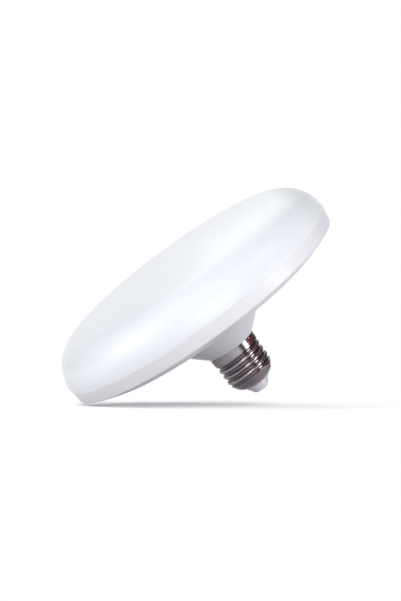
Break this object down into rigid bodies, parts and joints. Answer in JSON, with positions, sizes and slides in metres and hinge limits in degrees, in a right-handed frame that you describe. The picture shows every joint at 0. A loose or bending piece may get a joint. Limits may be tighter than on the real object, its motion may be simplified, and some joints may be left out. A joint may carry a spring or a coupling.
{
  "type": "ufo led bulb",
  "caption": "Flat saucer-shaped LED lamp with an opal domed cover, a white rim and conical neck, and an E27 screw cap that threads into a lampholder.",
  "frame": {"origin": "middle of the centre contact's end face", "axes": "+Z along the lamp's axis, from the centre contact to the opal dome; +X lies in the plane of the driver board"},
  "size_m": [0.16, 0.16, 0.0824],
  "materials": {
    "opal_cover": "satin",
    "white_housing": "semi-gloss",
    "nickel_plate": "polished",
    "white_insulator": "semi-gloss",
    "contact_metal": "satin",
    "pressed_aluminium": "satin",
    "white_board": "satin",
    "phosphor": "satin",
    "screw_steel": "zinc plated",
    "green_board": "satin",
    "can_sleeve": "shrink sleeve",
    "ferrite": "matte",
    "copper_wire": "enamelled",
    "dipped_resin": "dipped",
    "black_package": "matte",
    "resistor_coat": "lacquer",
    "brown_sleeve": "satin",
    "blue_sleeve": "satin",
    "red_sleeve": "satin",
    "black_sleeve": "satin"
  },
  "bodies": {
    "root": {"cover": "opal_cover", "rear_housing": "white_housing", "screw_shell": "nickel_plate", "insulator": "white_insulator", "centre_contact": "contact_metal", "heat_plate": "pressed_aluminium", "led_board": "white_board", "leds": "phosphor", "board_screws": "screw_steel", "driver_board": "green_board", "bulk_capacitor": "can_sleeve", "output_capacitor": "can_sleeve", "choke_core": "ferrite", "choke_winding": "copper_wire", "film_capacitor": "dipped_resin", "bridge_rectifier": "black_package", "driver_chip": "black_package", "diode": "black_package", "chip_resistors": "black_package", "fuse_resistor": "resistor_coat", "live_lead": "brown_sleeve", "neutral_lead": "blue_sleeve", "led_lead_positive": "red_sleeve", "led_lead_negative": "black_sleeve"}
  },
  "joints": []
}
